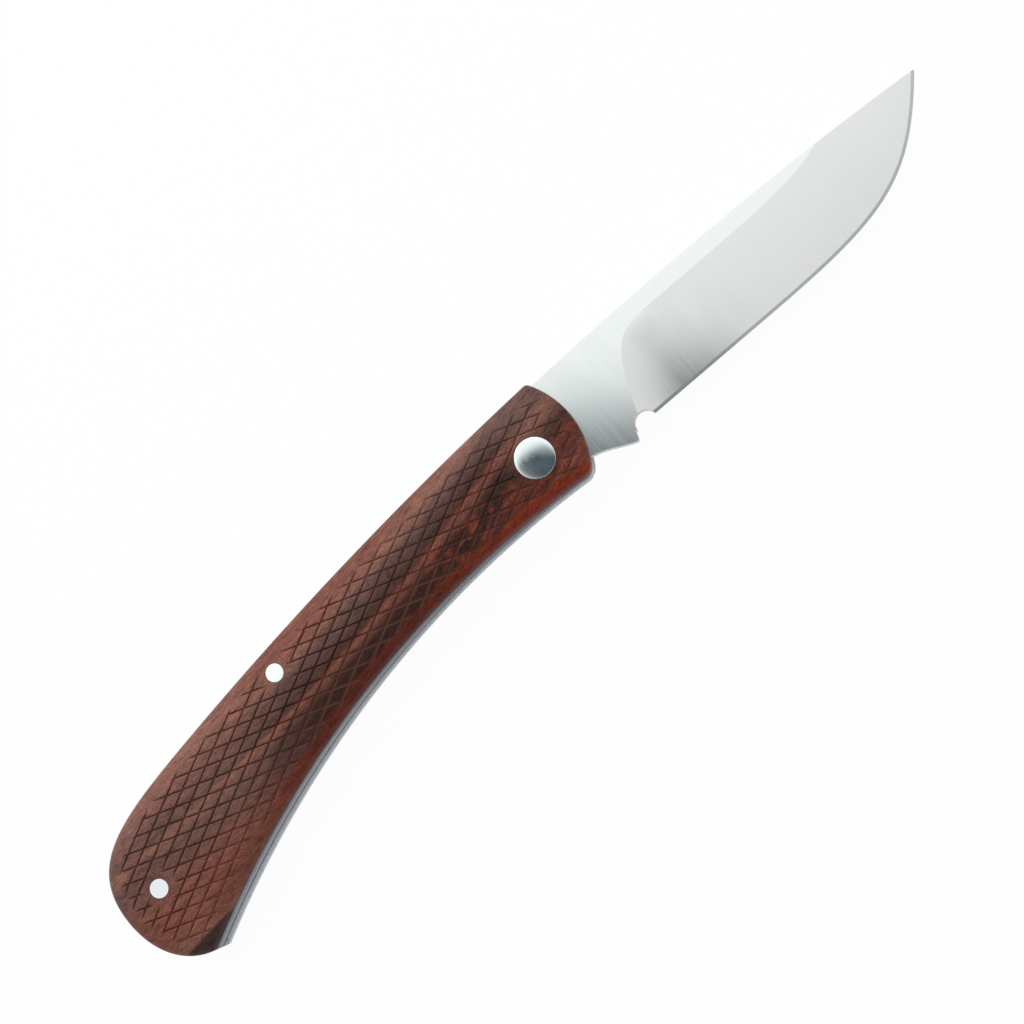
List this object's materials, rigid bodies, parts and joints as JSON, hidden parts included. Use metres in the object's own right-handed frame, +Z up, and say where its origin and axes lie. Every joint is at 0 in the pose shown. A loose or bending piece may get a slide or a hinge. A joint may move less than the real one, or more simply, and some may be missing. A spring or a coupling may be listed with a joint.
{
  "type": "folding pocket knife",
  "caption": "Folding pocket knife: a spring-held steel blade turns on a pivot between steel liners and checkered wooden scales, and folds into the slotted handle.",
  "frame": {"origin": "on the blade's pivot axis, at the flat side that the knife lies on", "axes": "+X from the pivot towards the point of the open blade, +Y towards the back of the handle, +Z up through the knife's thickness, towards the side with the pivot's domed head"},
  "size_m": [0.1922, 0.0389, 0.0134],
  "materials": {
    "blade_steel": "satin, brushed across the blade",
    "spring_steel": "ground and brushed",
    "liner_steel": "brushed edges",
    "wood": "red-brown hardwood, oiled, cut with a lozenge checkering",
    "polished_steel": "polished",
    "bronze": "smooth",
    "pin_steel": "ground flush and polished"
  },
  "bodies": {
    "handle": {"backspring": "spring_steel", "left_liner": "liner_steel", "right_liner": "liner_steel", "left_scale": "wood", "right_scale": "wood", "pivot_barrel": "polished_steel", "pivot_screw": "polished_steel", "left_washer": "bronze", "right_washer": "bronze", "mid_pin": "pin_steel", "end_pin": "pin_steel"},
    "blade": {"blade": "blade_steel"}
  },
  "joints": [
    {"name": "blade_pivot", "type": "hinge", "parent": "handle", "child": "blade", "pos_m": [0, 0, 0.00652], "axis": [0, 0, 1], "range_deg": [-171.5, 0], "deforming": ["backspring"]}
  ]
}
